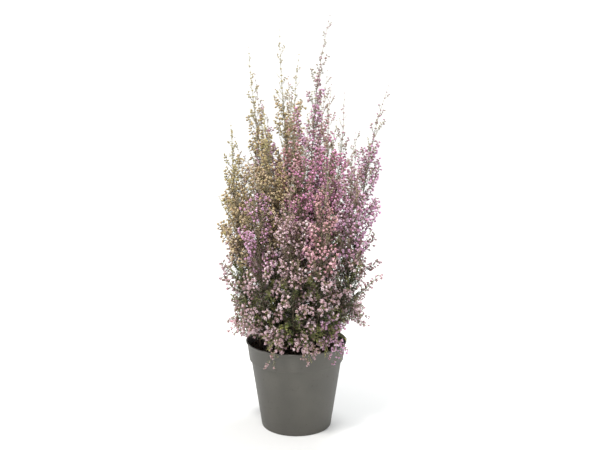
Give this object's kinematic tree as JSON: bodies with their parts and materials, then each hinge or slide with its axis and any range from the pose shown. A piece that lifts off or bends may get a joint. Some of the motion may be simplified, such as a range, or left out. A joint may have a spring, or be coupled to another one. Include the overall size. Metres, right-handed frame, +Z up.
{
  "type": "potted heather plant",
  "caption": "Upright flowering heather with pink, mauve and tan flower spires and low leafy sprays, growing in a round plastic plant pot filled with peat.",
  "frame": {"origin": "centre of the pot's underside, on the surface it stands on", "axes": "+Z up along the pot's axis, -Y towards the side the picture shows, +X to its right"},
  "size_m": [0.1778, 0.1655, 0.4411],
  "materials": {
    "pot_plastic": "matte",
    "peat": "matte",
    "leaf": "matte",
    "lilac_bloom": "matte",
    "magenta_bloom": "matte",
    "rose_bloom": "matte",
    "blush_bloom": "matte",
    "tan_bloom": "matte"
  },
  "bodies": {
    "root": {"pot": "pot_plastic", "soil": "peat", "leafy_shoot_01": "leaf", "flower_spike_01": "lilac_bloom", "leafy_shoot_02": "leaf", "flower_spike_02": "tan_bloom", "leafy_shoot_03": "leaf", "flower_spike_03": "rose_bloom", "leafy_shoot_04": "leaf", "flower_spike_04": "magenta_bloom", "leafy_shoot_05": "leaf", "flower_spike_05": "rose_bloom", "leafy_shoot_06": "leaf", "flower_spike_06": "tan_bloom", "leafy_shoot_07": "leaf", "flower_spike_07": "lilac_bloom", "leafy_shoot_08": "leaf", "flower_spike_08": "tan_bloom", "leafy_shoot_09": "leaf", "flower_spike_09": "tan_bloom", "leafy_shoot_10": "leaf", "flower_spike_10": "magenta_bloom", "leafy_shoot_11": "leaf", "flower_spike_11": "magenta_bloom", "leafy_shoot_12": "leaf", "flower_spike_12": "lilac_bloom", "leafy_shoot_13": "leaf", "flower_spike_13": "blush_bloom", "leafy_shoot_14": "leaf", "flower_spike_14": "tan_bloom", "leafy_shoot_15": "leaf", "flower_spike_15": "rose_bloom", "leafy_shoot_16": "leaf", "flower_spike_16": "lilac_bloom", "leafy_shoot_17": "leaf", "flower_spike_17": "blush_bloom", "leafy_shoot_18": "leaf", "flower_spike_18": "tan_bloom", "leafy_shoot_19": "leaf", "flower_spike_19": "tan_bloom", "leafy_shoot_20": "leaf", "flower_spike_20": "lilac_bloom", "leafy_shoot_21": "leaf", "flower_spike_21": "blush_bloom", "leafy_shoot_22": "leaf", "flower_spike_22": "rose_bloom", "leafy_shoot_23": "leaf", "flower_spike_23": "lilac_bloom", "low_spray_01": "blush_bloom", "low_spray_02": "rose_bloom", "low_spray_03": "blush_bloom", "low_spray_04": "blush_bloom", "low_spray_05": "lilac_bloom", "low_spray_06": "blush_bloom", "low_spray_07": "rose_bloom", "low_spray_08": "blush_bloom", "low_spray_09": "blush_bloom", "low_spray_10": "blush_bloom", "low_spray_11": "lilac_bloom", "low_spray_12": "blush_bloom"}
  },
  "joints": []
}
